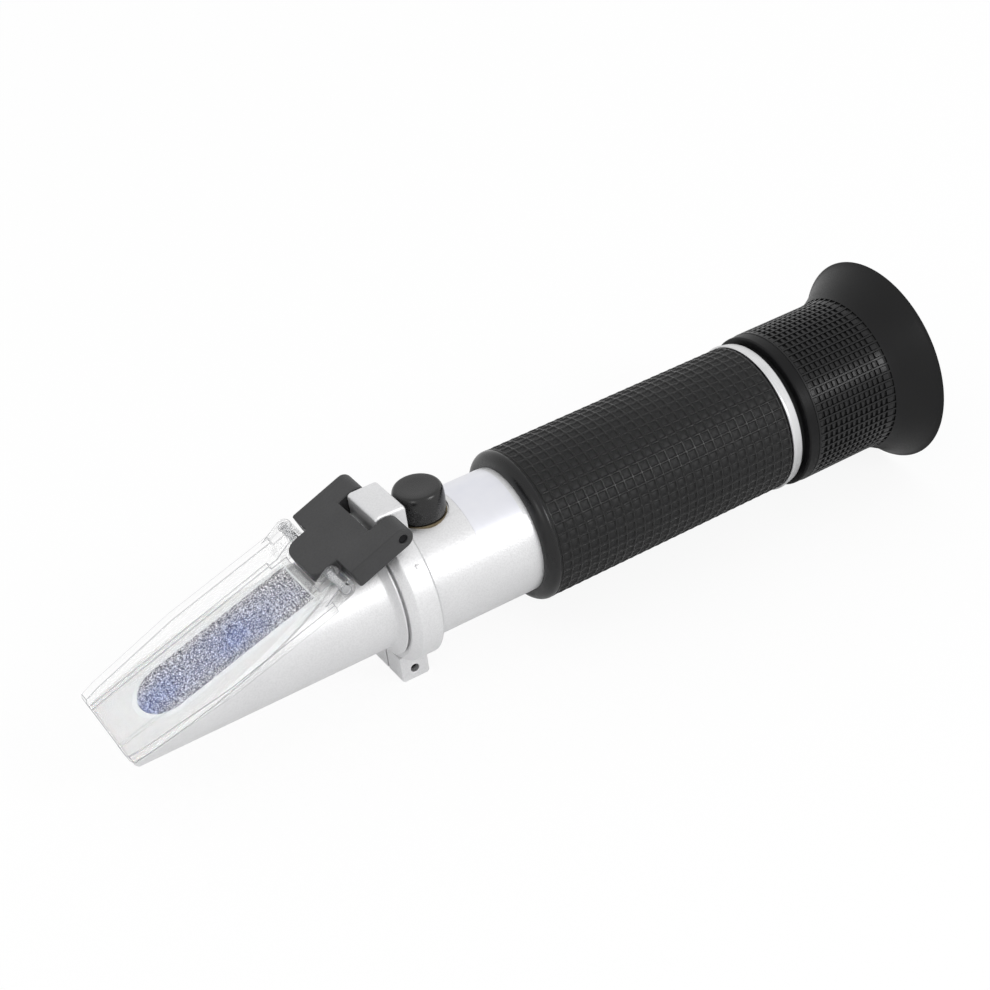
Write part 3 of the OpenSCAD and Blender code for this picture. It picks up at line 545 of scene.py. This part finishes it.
# The white band and its rear line paint the reflection of the white housing in the clear prism.
finishPiece("window_reflection_band", windowReflectionBand(), "barrel", paintedWhiteReflection)
finishPiece("window_rear_reflection_band",
            slopeBlock(windowBand["back"], stripStart, windowBand["halfWidth"] + windowBand["rearOver"], windowBand["foot"],
                       windowBand["top"]),
            "barrel", paintedWhiteReflection)
finishPiece("window_grey_strip",
            slopeBlock(stripStart, stripStart + windowBand["stripLength"], windowBand["stripHalfWidth"], windowBand["foot"],
                       windowBand["top"] - windowBand["stripSunk"]),
            "barrel", greyStrip)
print("nose built")


# Daylight plate and hinge

clearPlate = finishPiece("clear_plate", roundedCopy("daylight_plate", edgeSlot=1), "plate", clearAcrylic,
                         ["daylight_plate"])
clearPlate.data.materials.append(acrylicEdge)
finishPiece("coated_bracket", roundedCopy("hinge_bracket"), "bracket", coatedZinc,
            ["hinge_bracket"])

# The collar, with rounder edges on its post, which starts at postFoot, than
# elsewhere. Each round is (width, segments).
collar = {"postFoot": 15.2, "shortest": 0.3, "postRound": (0.34, 4), "round": (0.13, 3), "hardAngle": 34}


def collarShell():
    bm = mergedCopy("clamp_collar")
    post = [e for e in hardEdges(bm, collar["hardAngle"]) if e.calc_length() > collar["shortest"] * mm
            and max(v.co.z for v in e.verts) > collar["postFoot"] * mm]
    roundEdges(bm, post, *collar["postRound"])
    roundEdges(bm, hardEdges(bm, collar["hardAngle"]), *collar["round"])
    return bm


finishPiece("clamp_collar_shell", collarShell(), "barrel", satinAluminium,
            ["clamp_collar"])

# Small round mark that a press tool leaves on the collar.
mark = {"fromTip": 55.07, "turn": 48.6, "radius": 13.9, "halfWidth": 0.42, "heightShare": 0.3}


def collarMark():
    bm = bmesh.new()
    bmesh.ops.create_uvsphere(bm, u_segments=24, v_segments=12, radius=mark["halfWidth"] * mm)
    bmesh.ops.scale(bm, vec=(1, 1, mark["heightShare"]), verts=bm.verts)
    along = Matrix.Translation(((mark["fromTip"] - tipToOrigin) * mm, 0, 0))
    turn = Matrix.Rotation(math.radians(mark["turn"]), 4, "X")
    out = Matrix.Translation((0, 0, mark["radius"] * mm))
    bmesh.ops.transform(bm, matrix=along @ turn @ out, verts=bm.verts)
    return bm


finishPiece("collar_press_mark", collarMark(), "barrel", turnedAluminium)
print("hinge built")


# Barrel, bright ring and grip

finishPiece("barrel_shell", roundedCopy("barrel_tube"), "barrel", satinAluminium,
            ["barrel_tube"])

# Bright turned ring behind the grip, tapering towards the eye.
ring = {"bore": 11.82, "edge": 0.25, "shoulder": 0.4, "shoulderRound": 0.2, "taper": 0.4, "steps": 160}


def endRing():
    x0, x1, radius = nodeSpan("end_ring")
    outline = roundedLine([
        (x0, ring["bore"]), (x0, radius, ring["edge"]),
        (x0 + ring["shoulder"], radius, ring["shoulderRound"]),
        (x1, radius - ring["taper"], ring["edge"]), (x1, ring["bore"])])
    return turnedShape(outline, ring["steps"])


finishPiece("bright_ring", endRing(), "barrel", turnedAluminium, ["end_ring"])

# Rubber grip: a lattice of thin rounded ridges round low, domed pads. The steps
# of a cell are (inwards, down) from the face before.
grip = {"cells": 46, "columns": 26, "bore": 11.82, "scallop": 0.08, "topDepth": 0.1,
        "noseLength": 1.85, "noseFull": 0.95, "noseSteps": 12, "noseEnd": [(2.0, 0.02), (2.12, 0.08)],
        "grooveAt": 2.35, "grooveRadius": 0.17, "grooveSteps": 6, "grooveFirst": 2, "grooveEnd": 0.03,
        "tail": 0.5, "tailRun": 0.15, "tailDrop": 0.12, "tailEdge": 0.35,
        "ridgeSteps": [(0.06, 0), (0.03, 0.03), (0.05, 0.08), (0.08, 0.13), (0.07, 0.06)],
        "domeSteps": [(0.14, -0.07), (0.17, -0.05), (0.18, -0.02)]}


# Rounded front and the groove behind it, in the grip's outline.
def gripNose(x0, radius):
    quarter = [math.pi / 2 * i / grip["noseSteps"] for i in range(grip["noseSteps"] + 1)]
    nose = [(x0 + grip["noseLength"] * (1 - math.cos(a)),
             grip["bore"] + (radius - grip["bore"]) * math.sin(a) ** grip["noseFull"]) for a in quarter]
    nose += [(x0 + along, radius - sunk) for along, sunk in grip["noseEnd"]]
    dip = [math.pi * i / grip["grooveSteps"] for i in range(grip["grooveFirst"], grip["grooveSteps"] + 1)]
    return nose + [(x0 + grip["grooveAt"] - grip["grooveRadius"] * math.cos(a),
                    radius - grip["grooveRadius"] * math.sin(a)) for a in dip]


# Joins the four faces of each cell, and lowers the ridges between crossings.
def openCells(bm, first, radius, step):
    turnStep = math.pi / grip["cells"]
    spare = set()
    for vert in bm.verts:
        x, y, z = vert.co / mm
        column = round((x - first) / step * 2)
        if math.hypot(y, z) < radius - 2 * grip["scallop"] or not 0 <= column <= 2 * grip["columns"]:
            continue
        turn = round(math.atan2(y, z) / turnStep)
        if turn % 2 and column % 2:
            spare.add(vert)
        elif turn % 2:
            vert.co.yz *= (radius - grip["scallop"]) / radius
    bmesh.ops.dissolve_verts(bm, verts=list(spare))


def rubberGrip():
    x0, x1, radius = nodeSpan("rubber_grip")
    nose = gripNose(x0, radius)
    first, last = nose[-1][0] + grip["grooveEnd"], x1 - grip["tail"]
    step = (last - first) / grip["columns"]
    grid = [(first + step / 2 * i, radius - grip["scallop"] * (i % 2))
            for i in range(2 * grip["columns"] + 1)]
    tail = [(x1 - grip["tailRun"], radius - grip["tailDrop"]), (x1, radius - grip["tailEdge"]),
            (x1, grip["bore"])]
    bm = turnedShape(nose + grid + tail, 2 * grip["cells"])
    openCells(bm, first, radius, step)
    cells = [f for f in bm.faces if first < f.calc_center_median().x / mm < last
             and math.hypot(*f.calc_center_median().yz) / mm > radius - grip["topDepth"]]
    for inset, sink in grip["ridgeSteps"] + grip["domeSteps"]:
        bmesh.ops.inset_individual(bm, faces=cells, thickness=inset * mm, depth=-sink * mm,
                                   use_even_offset=True)
    print("grip cells:", len(cells))
    return bm


finishPiece("ridged_grip", rubberGrip(), "barrel", handledRubber, ["rubber_grip"],
            hardAngle=70, weighted=False)

# Bare label film on the barrel, with rounded corners. Its text is left off.
film = {"start": 67.95, "end": 77.35, "halfTurn": 53.3, "corner": 0.45, "sunk": 11.78, "top": 11.84,
        "steps": 60, "columns": 12, "cornerReach": 0.01}


def barrelFilm():
    bm = bmesh.new()
    length = film["end"] - film["start"]
    halfArc = math.radians(film["halfTurn"]) * film["top"]
    bmesh.ops.create_grid(bm, x_segments=film["columns"], y_segments=film["steps"], size=0.5)
    bmesh.ops.scale(bm, vec=(length, 2 * halfArc, 1), verts=bm.verts)
    corners = [v for v in bm.verts if abs(abs(v.co.x) - length / 2) < film["cornerReach"]
               and abs(abs(v.co.y) - halfArc) < film["cornerReach"]]
    bmesh.ops.bevel(bm, geom=corners, offset=film["corner"], segments=4, profile=0.5, affect="VERTICES",
                    material=-1)
    flat = bmesh.ops.extrude_face_region(bm, geom=bm.faces[:])
    raised = [g for g in flat["geom"] if isinstance(g, bmesh.types.BMVert)]
    for vert in bm.verts:
        radius = film["top"] if vert in raised else film["sunk"]
        turn = vert.co.y / film["top"]
        along = vert.co.x + (film["start"] + film["end"]) / 2 - tipToOrigin
        vert.co = (along * mm, radius * math.sin(turn) * mm, radius * math.cos(turn) * mm)
    bmesh.ops.recalc_face_normals(bm, faces=bm.faces)
    return bm


finishPiece("bare_label_film", barrelFilm(), "barrel", labelFilm)
print("barrel built")


# Calibration cap, boss and screw

# The cap's side is (share of its height, inset from its radius).
cap = {"wall": 1.25, "roof": 1.3, "dip": 0.1, "dipShare": 0.5, "steps": 96,
       "side": [(0, 0.16), (0.3, 0.02), (0.58, 0), (0.8, 0.12), (0.92, 0.34), (0.985, 0.66), (1, 1.05)]}


def rubberCap():
    low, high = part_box("calibration_cap")
    centre = ((low.x + high.x) / 2 / mm, 0)
    radius, z0, z1 = high.y / mm, low.z / mm, high.z / mm
    inner = radius - cap["wall"]
    side = flowingLine([(z0 + (z1 - z0) * share, radius - inset) for share, inset in cap["side"]])
    top = [(z1 - cap["dip"], radius * cap["dipShare"]), (z1 - cap["dip"], 0)]
    roof = [(z1 - cap["roof"], 0), (z1 - cap["roof"], inner), (z0, inner)]
    return turnedShape(side + top + roof, cap["steps"], "Z", centre)


finishPiece("soft_cap", rubberCap(), "cap", siliconeRubber, ["calibration_cap"])
finishPiece("brass_boss", roundedCopy("calibration_boss"), "barrel", turnedBrass,
            ["calibration_boss"])
finishPiece("slotted_screw", roundedCopy("calibration_screw"), "calibration", brightSteel,
            ["calibration_screw"])
print("calibration cap built")


# Eyepiece

# Places along the sleeve are counted from its front edge. A row has one turn of
# the spin for its rib, and the rest for the trough beside it.
sleeve = {"radius": 15, "bore": 13.92, "rows": 62, "turnsPerRow": 5, "frontBevel": 0.12,
          "firstLand": 0.3, "firstWide": 0.9, "firstMiddle": 2.15, "landPitch": 1.2, "landWidth": 0.68,
          "lands": 12, "lastLand": 16.2, "lastWide": 1.3, "ribEnd": 18, "searchDepth": 0.2,
          "ribRise": 0.26, "ribWall": 0.03, "pocket": 0.12, "pocketWall": 0.04, "blockRise": 0.17,
          "blockGap": 0.1}
# The flare is (share of the cup's length, share of the way out to its rim).
cup = {"length": 10, "floor": 1.4, "floorRadius": 11.3, "floorStep": 0.02, "throat": 13.6, "rim": 0.8,
       "skin": 0.01, "afterRibs": 0.1, "curveSteps": 4,
       "flare": [(0, 0), (0.2, 0.035), (0.35, 0.14), (0.5, 0.29), (0.65, 0.46), (0.8, 0.65), (0.94, 0.86),
                 (1, 1)]}


# Places where the lands of the sleeve start and end.
def landEdges():
    edges = [sleeve["firstLand"], sleeve["firstLand"] + sleeve["firstWide"]]
    for i in range(sleeve["lands"]):
        middle = sleeve["firstMiddle"] + sleeve["landPitch"] * i
        edges += [middle - sleeve["landWidth"] / 2, middle + sleeve["landWidth"] / 2]
    return edges + [sleeve["lastLand"], sleeve["lastLand"] + sleeve["lastWide"]]


# Radius of a line of (x, radius) points at a place along it.
def radiusAt(line, x):
    for a, b in zip(line, line[1:]):
        if a[0] <= x <= b[0]:
            return a[1] + (b[1] - a[1]) * (x - a[0]) / (b[0] - a[0])
    return line[0][1] if x < line[0][0] else line[-1][1]


# A flared curve from one (x, radius) to another.
def flareLine(x0, radius0, x1, radius1):
    return [(x0 + (x1 - x0) * s, radius0 + (radius1 - radius0) * r) for s, r in cup["flare"]]


# Outline of the sleeve and cup, with a point at each edge of a land.
def cupOutline(x0, x1, rimRadius, edges, ribEnd):
    cupX = x1 - cup["length"]
    innerX = cupX + cup["floor"]
    stepX = cupX + cup["floorStep"]
    outer = flowingLine(flareLine(cupX, sleeve["radius"], x1, rimRadius), cup["curveSteps"])
    inner = flowingLine(flareLine(innerX, cup["throat"], x1, rimRadius - cup["rim"])[::-1],
                        cup["curveSteps"])
    front = [(x, radiusAt(outer, x)) for x in edges + [ribEnd]]
    flare = [p for p in outer if p[0] > ribEnd + cup["afterRibs"]]
    rim = [(x1, rimRadius - cup["rim"] / 2)]
    bore = [(innerX, cup["floorRadius"]), (stepX, cup["floorRadius"]), (stepX, sleeve["bore"]),
            (x0, sleeve["bore"]), (x0, sleeve["radius"] - sleeve["frontBevel"]),
            (x0 + sleeve["frontBevel"], sleeve["radius"])]
    return front + flare + rim + inner + bore


# Moulded sleeve and cup: thin ribs run along it, with lands and sunk pockets
# between them that reach onto the start of the flare.
def softEyecup():
    x0, x1, rimRadius = nodeSpan("eyecup")
    edges = [x0 + e for e in landEdges()]
    ribEnd = x0 + sleeve["ribEnd"]
    turns = sleeve["rows"] * sleeve["turnsPerRow"]
    bm = turnedShape(cupOutline(x0, x1, rimRadius - cup["skin"], edges, ribEnd), turns)
    troughs, pockets, lands = [], [], []
    for face in bm.faces:
        middle = face.calc_center_median() / mm
        outer = math.hypot(middle.y, middle.z) >= sleeve["radius"] - sleeve["searchDepth"]
        if not (outer and edges[0] < middle.x < ribEnd):
            continue
        turn = int(math.atan2(middle.y, middle.z) % (2 * math.pi) / (2 * math.pi / turns))
        if turn % sleeve["turnsPerRow"] == 0:
            continue
        troughs.append(face)
        slot = sum(e < middle.x for e in edges)
        if slot < len(edges):
            (lands if slot % 2 else pockets).append(face)
    for faces, wall, rise in [(troughs, sleeve["ribWall"], -sleeve["ribRise"]),
                              (pockets, sleeve["pocketWall"], -sleeve["pocket"]),
                              (lands, sleeve["blockGap"], sleeve["blockRise"])]:
        bmesh.ops.inset_region(bm, faces=faces, thickness=wall * mm, depth=rise * mm, use_even_offset=True)
    print("eyepiece pockets:", len(pockets) // (sleeve["turnsPerRow"] - 1))
    return bm


# Focus ring: its depths are counted from its rear end.
focus = {"bushBore": 13.3, "frontEdge": 0.35, "bandEdge": 0.12, "cupGap": 0.02, "neckRadius": 13.9,
         "rearBore": 12.9, "rearDepth": 5.8, "tubeBore": 9.25, "tubeDepth": 7.2, "steps": 160}


def focusRing():
    x0, x1, radius = nodeSpan("focus_ring")
    bandEnd = nodeSpan("eyecup")[0] - focus["cupGap"]
    rearX, tubeX = x1 - focus["rearDepth"], x1 - focus["tubeDepth"]
    outline = roundedLine([
        (x0, focus["bushBore"]), (x0, radius, focus["frontEdge"]), (bandEnd, radius, focus["bandEdge"]),
        (bandEnd, focus["neckRadius"]), (x1, focus["neckRadius"]), (x1, focus["rearBore"]),
        (rearX, focus["rearBore"]), (rearX, focus["tubeBore"]), (tubeX, focus["tubeBore"]),
        (tubeX, focus["bushBore"])])
    return turnedShape(outline, focus["steps"])


# Eye lens: two equal domes on a plain rim.
lens = {"rimWidth": 2.4, "arcSteps": 16, "steps": 96}


def eyeLens():
    x0, x1, radius = nodeSpan("eye_lens")
    depth = (x1 - x0 - lens["rimWidth"]) / 2
    arcRadius = (radius * radius + depth * depth) / (2 * depth)
    angles = [math.asin(radius / arcRadius) * i / lens["arcSteps"] for i in range(lens["arcSteps"] + 1)]
    front = [(x0 + arcRadius * (1 - math.cos(a)), arcRadius * math.sin(a)) for a in angles]
    back = [(x1 - arcRadius * (1 - math.cos(a)), arcRadius * math.sin(a)) for a in reversed(angles)]
    return turnedShape(front + back, lens["steps"])


finishPiece("soft_eyecup", softEyecup(), "focus", mouldedRubber, ["eyecup"],
            hardAngle=34, weighted=False)
finishPiece("focus_ring_shell", focusRing(), "focus", mouldedAbs, ["focus_ring"])
finishPiece("eye_lens_glass", eyeLens(), "eyepiece", crownGlass, ["eye_lens"])
print("eyepiece built")


# The nodes that keep their own meshes

nodeFinish = {
    "clamp_screw": blackenedSteel, "hinge_pin": blackenedSteel, "plate_pin": brightSteel,
    "objective_holder": blackAluminium, "objective_lens": crownGlass, "objective_ring": blackAluminium,
    "compensation_strip": bondedStrip, "strip_anchor": turnedBrass, "glare_stop": blackAluminium,
    "reticle_holder": turnedBrass, "reticle": crownGlass, "focus_bush": blackAluminium,
    "lens_tube": blackAluminium, "field_lens": crownGlass, "lens_spacer": blackAluminium,
    "lens_retainer": blackAluminium, "tube_retainer": mouldedAbs}
for nodeName, finish in nodeFinish.items():
    nodes[nodeName].data.materials.clear()
    nodes[nodeName].data.materials.append(finish)
print("inner pieces finished:", len(nodeFinish))


# Floor, light and camera, in metres

# The collar's lug and the cup's rim both touch the floor, so it is tilted.
floor = {"footX": -0.1025, "footZ": -0.0177, "rimX": 0.0064, "rimZ": -0.02, "size": 6,
         "colour": "F8F8F8", "roughness": 0.9, "shadowShare": 0.1}


def paleFloor():
    bm = bmesh.new()
    bmesh.ops.create_grid(bm, x_segments=2, y_segments=2, size=floor["size"] / 2)
    tilt = math.atan2(floor["rimZ"] - floor["footZ"], floor["rimX"] - floor["footX"])
    place = Matrix.Translation((floor["footX"], 0, floor["footZ"])) @ Matrix.Rotation(-tilt, 4, "Y")
    bmesh.ops.transform(bm, matrix=place, verts=bm.verts)
    mesh = bpy.data.meshes.new("pale_floor")
    bm.to_mesh(mesh)
    bm.free()
    sockets = {"Base Color": colourOf(floor["colour"]), "Roughness": floor["roughness"]}
    material, tree, shader = blankMaterial("white_paper_sheet", sockets)[:3]
    path = addNode(tree, "ShaderNodeLightPath")
    seen = addNode(tree, "ShaderNodeMath", {"operation": "MAXIMUM"},
                   {0: path.outputs["Is Camera Ray"], 1: path.outputs["Is Transmission Ray"]})
    share = addNode(tree, "ShaderNodeMath", {"operation": "MULTIPLY", 1: 1 - floor["shadowShare"]},
                    {0: seen.outputs[0]})
    glow = addNode(tree, "ShaderNodeEmission", {"Color": (1, 1, 1, 1), "Strength": 1})
    mix = addNode(tree, "ShaderNodeMixShader",
                  links={0: share.outputs[0], 1: shader.outputs[0], 2: glow.outputs[0]})
    tree.links.new(mix.outputs[0], tree.nodes["Material Output"].inputs[0])
    mesh.materials.append(material)
    sheet = bpy.data.objects.new("pale_floor", mesh)
    bpy.context.scene.collection.objects.link(sheet)


# White all round: full white where it is seen, and a little less as light.
room = {"fill": 0.9}


def whiteRoom():
    world = bpy.data.worlds.new("white_room")
    world.use_nodes = True
    tree = world.node_tree
    tree.nodes.clear()
    path = addNode(tree, "ShaderNodeLightPath")
    seen = addNode(tree, "ShaderNodeMath", {"operation": "MAXIMUM"},
                   {0: path.outputs["Is Camera Ray"], 1: path.outputs["Is Glossy Ray"]})
    seenAny = addNode(tree, "ShaderNodeMath", {"operation": "MAXIMUM"},
                      {0: seen.outputs[0], 1: path.outputs["Is Transmission Ray"]})
    strength = addNode(tree, "ShaderNodeMapRange", {"To Min": room["fill"]}, {"Value": seenAny.outputs[0]})
    air = addNode(tree, "ShaderNodeBackground", {"Color": (1, 1, 1, 1)}, {"Strength": strength.outputs[0]})
    output = addNode(tree, "ShaderNodeOutputWorld")
    tree.links.new(air.outputs[0], output.inputs[0])
    bpy.context.scene.world = world


lamps = [
    {"name": "key_panel", "place": (0.34, -0.68, 0.42), "aim": (-0.08, 0, 0), "size": 0.25, "power": 1.8},
    {"name": "left_panel", "place": (-0.75, -0.5, 0.5), "aim": (-0.1, 0, 0), "size": 0.22, "power": 0.7}]


def softLamp(lamp):
    data = bpy.data.lights.new(lamp["name"], "AREA")
    data.shape = "SQUARE"
    data.size = lamp["size"]
    data.energy = lamp["power"]
    panel = bpy.data.objects.new(lamp["name"], data)
    bpy.context.scene.collection.objects.link(panel)
    panel.location = lamp["place"]
    direction = Vector(lamp["aim"]) - Vector(lamp["place"])
    panel.rotation_euler = direction.to_track_quat("-Z", "Y").to_euler()


paleFloor()
whiteRoom()
for lamp in lamps:
    softLamp(lamp)

# The lens and the sensor are in millimetres, the turn is in degrees.
view = {"place": (-0.21542, -0.25616, 0.20748), "turn": (55.2334, 6.3174, -32.2905), "lens": 73.08,
        "sensor": 36}
cameraData = bpy.data.cameras.new("camera")
cameraData.lens = view["lens"]
cameraData.sensor_width = view["sensor"]
camera = bpy.data.objects.new("camera", cameraData)
camera.location = view["place"]
camera.rotation_euler = [math.radians(t) for t in view["turn"]]
bpy.context.scene.collection.objects.link(camera)
bpy.context.scene.camera = camera
bpy.context.scene.view_settings.view_transform = "Standard"
print("floor, light and camera set")
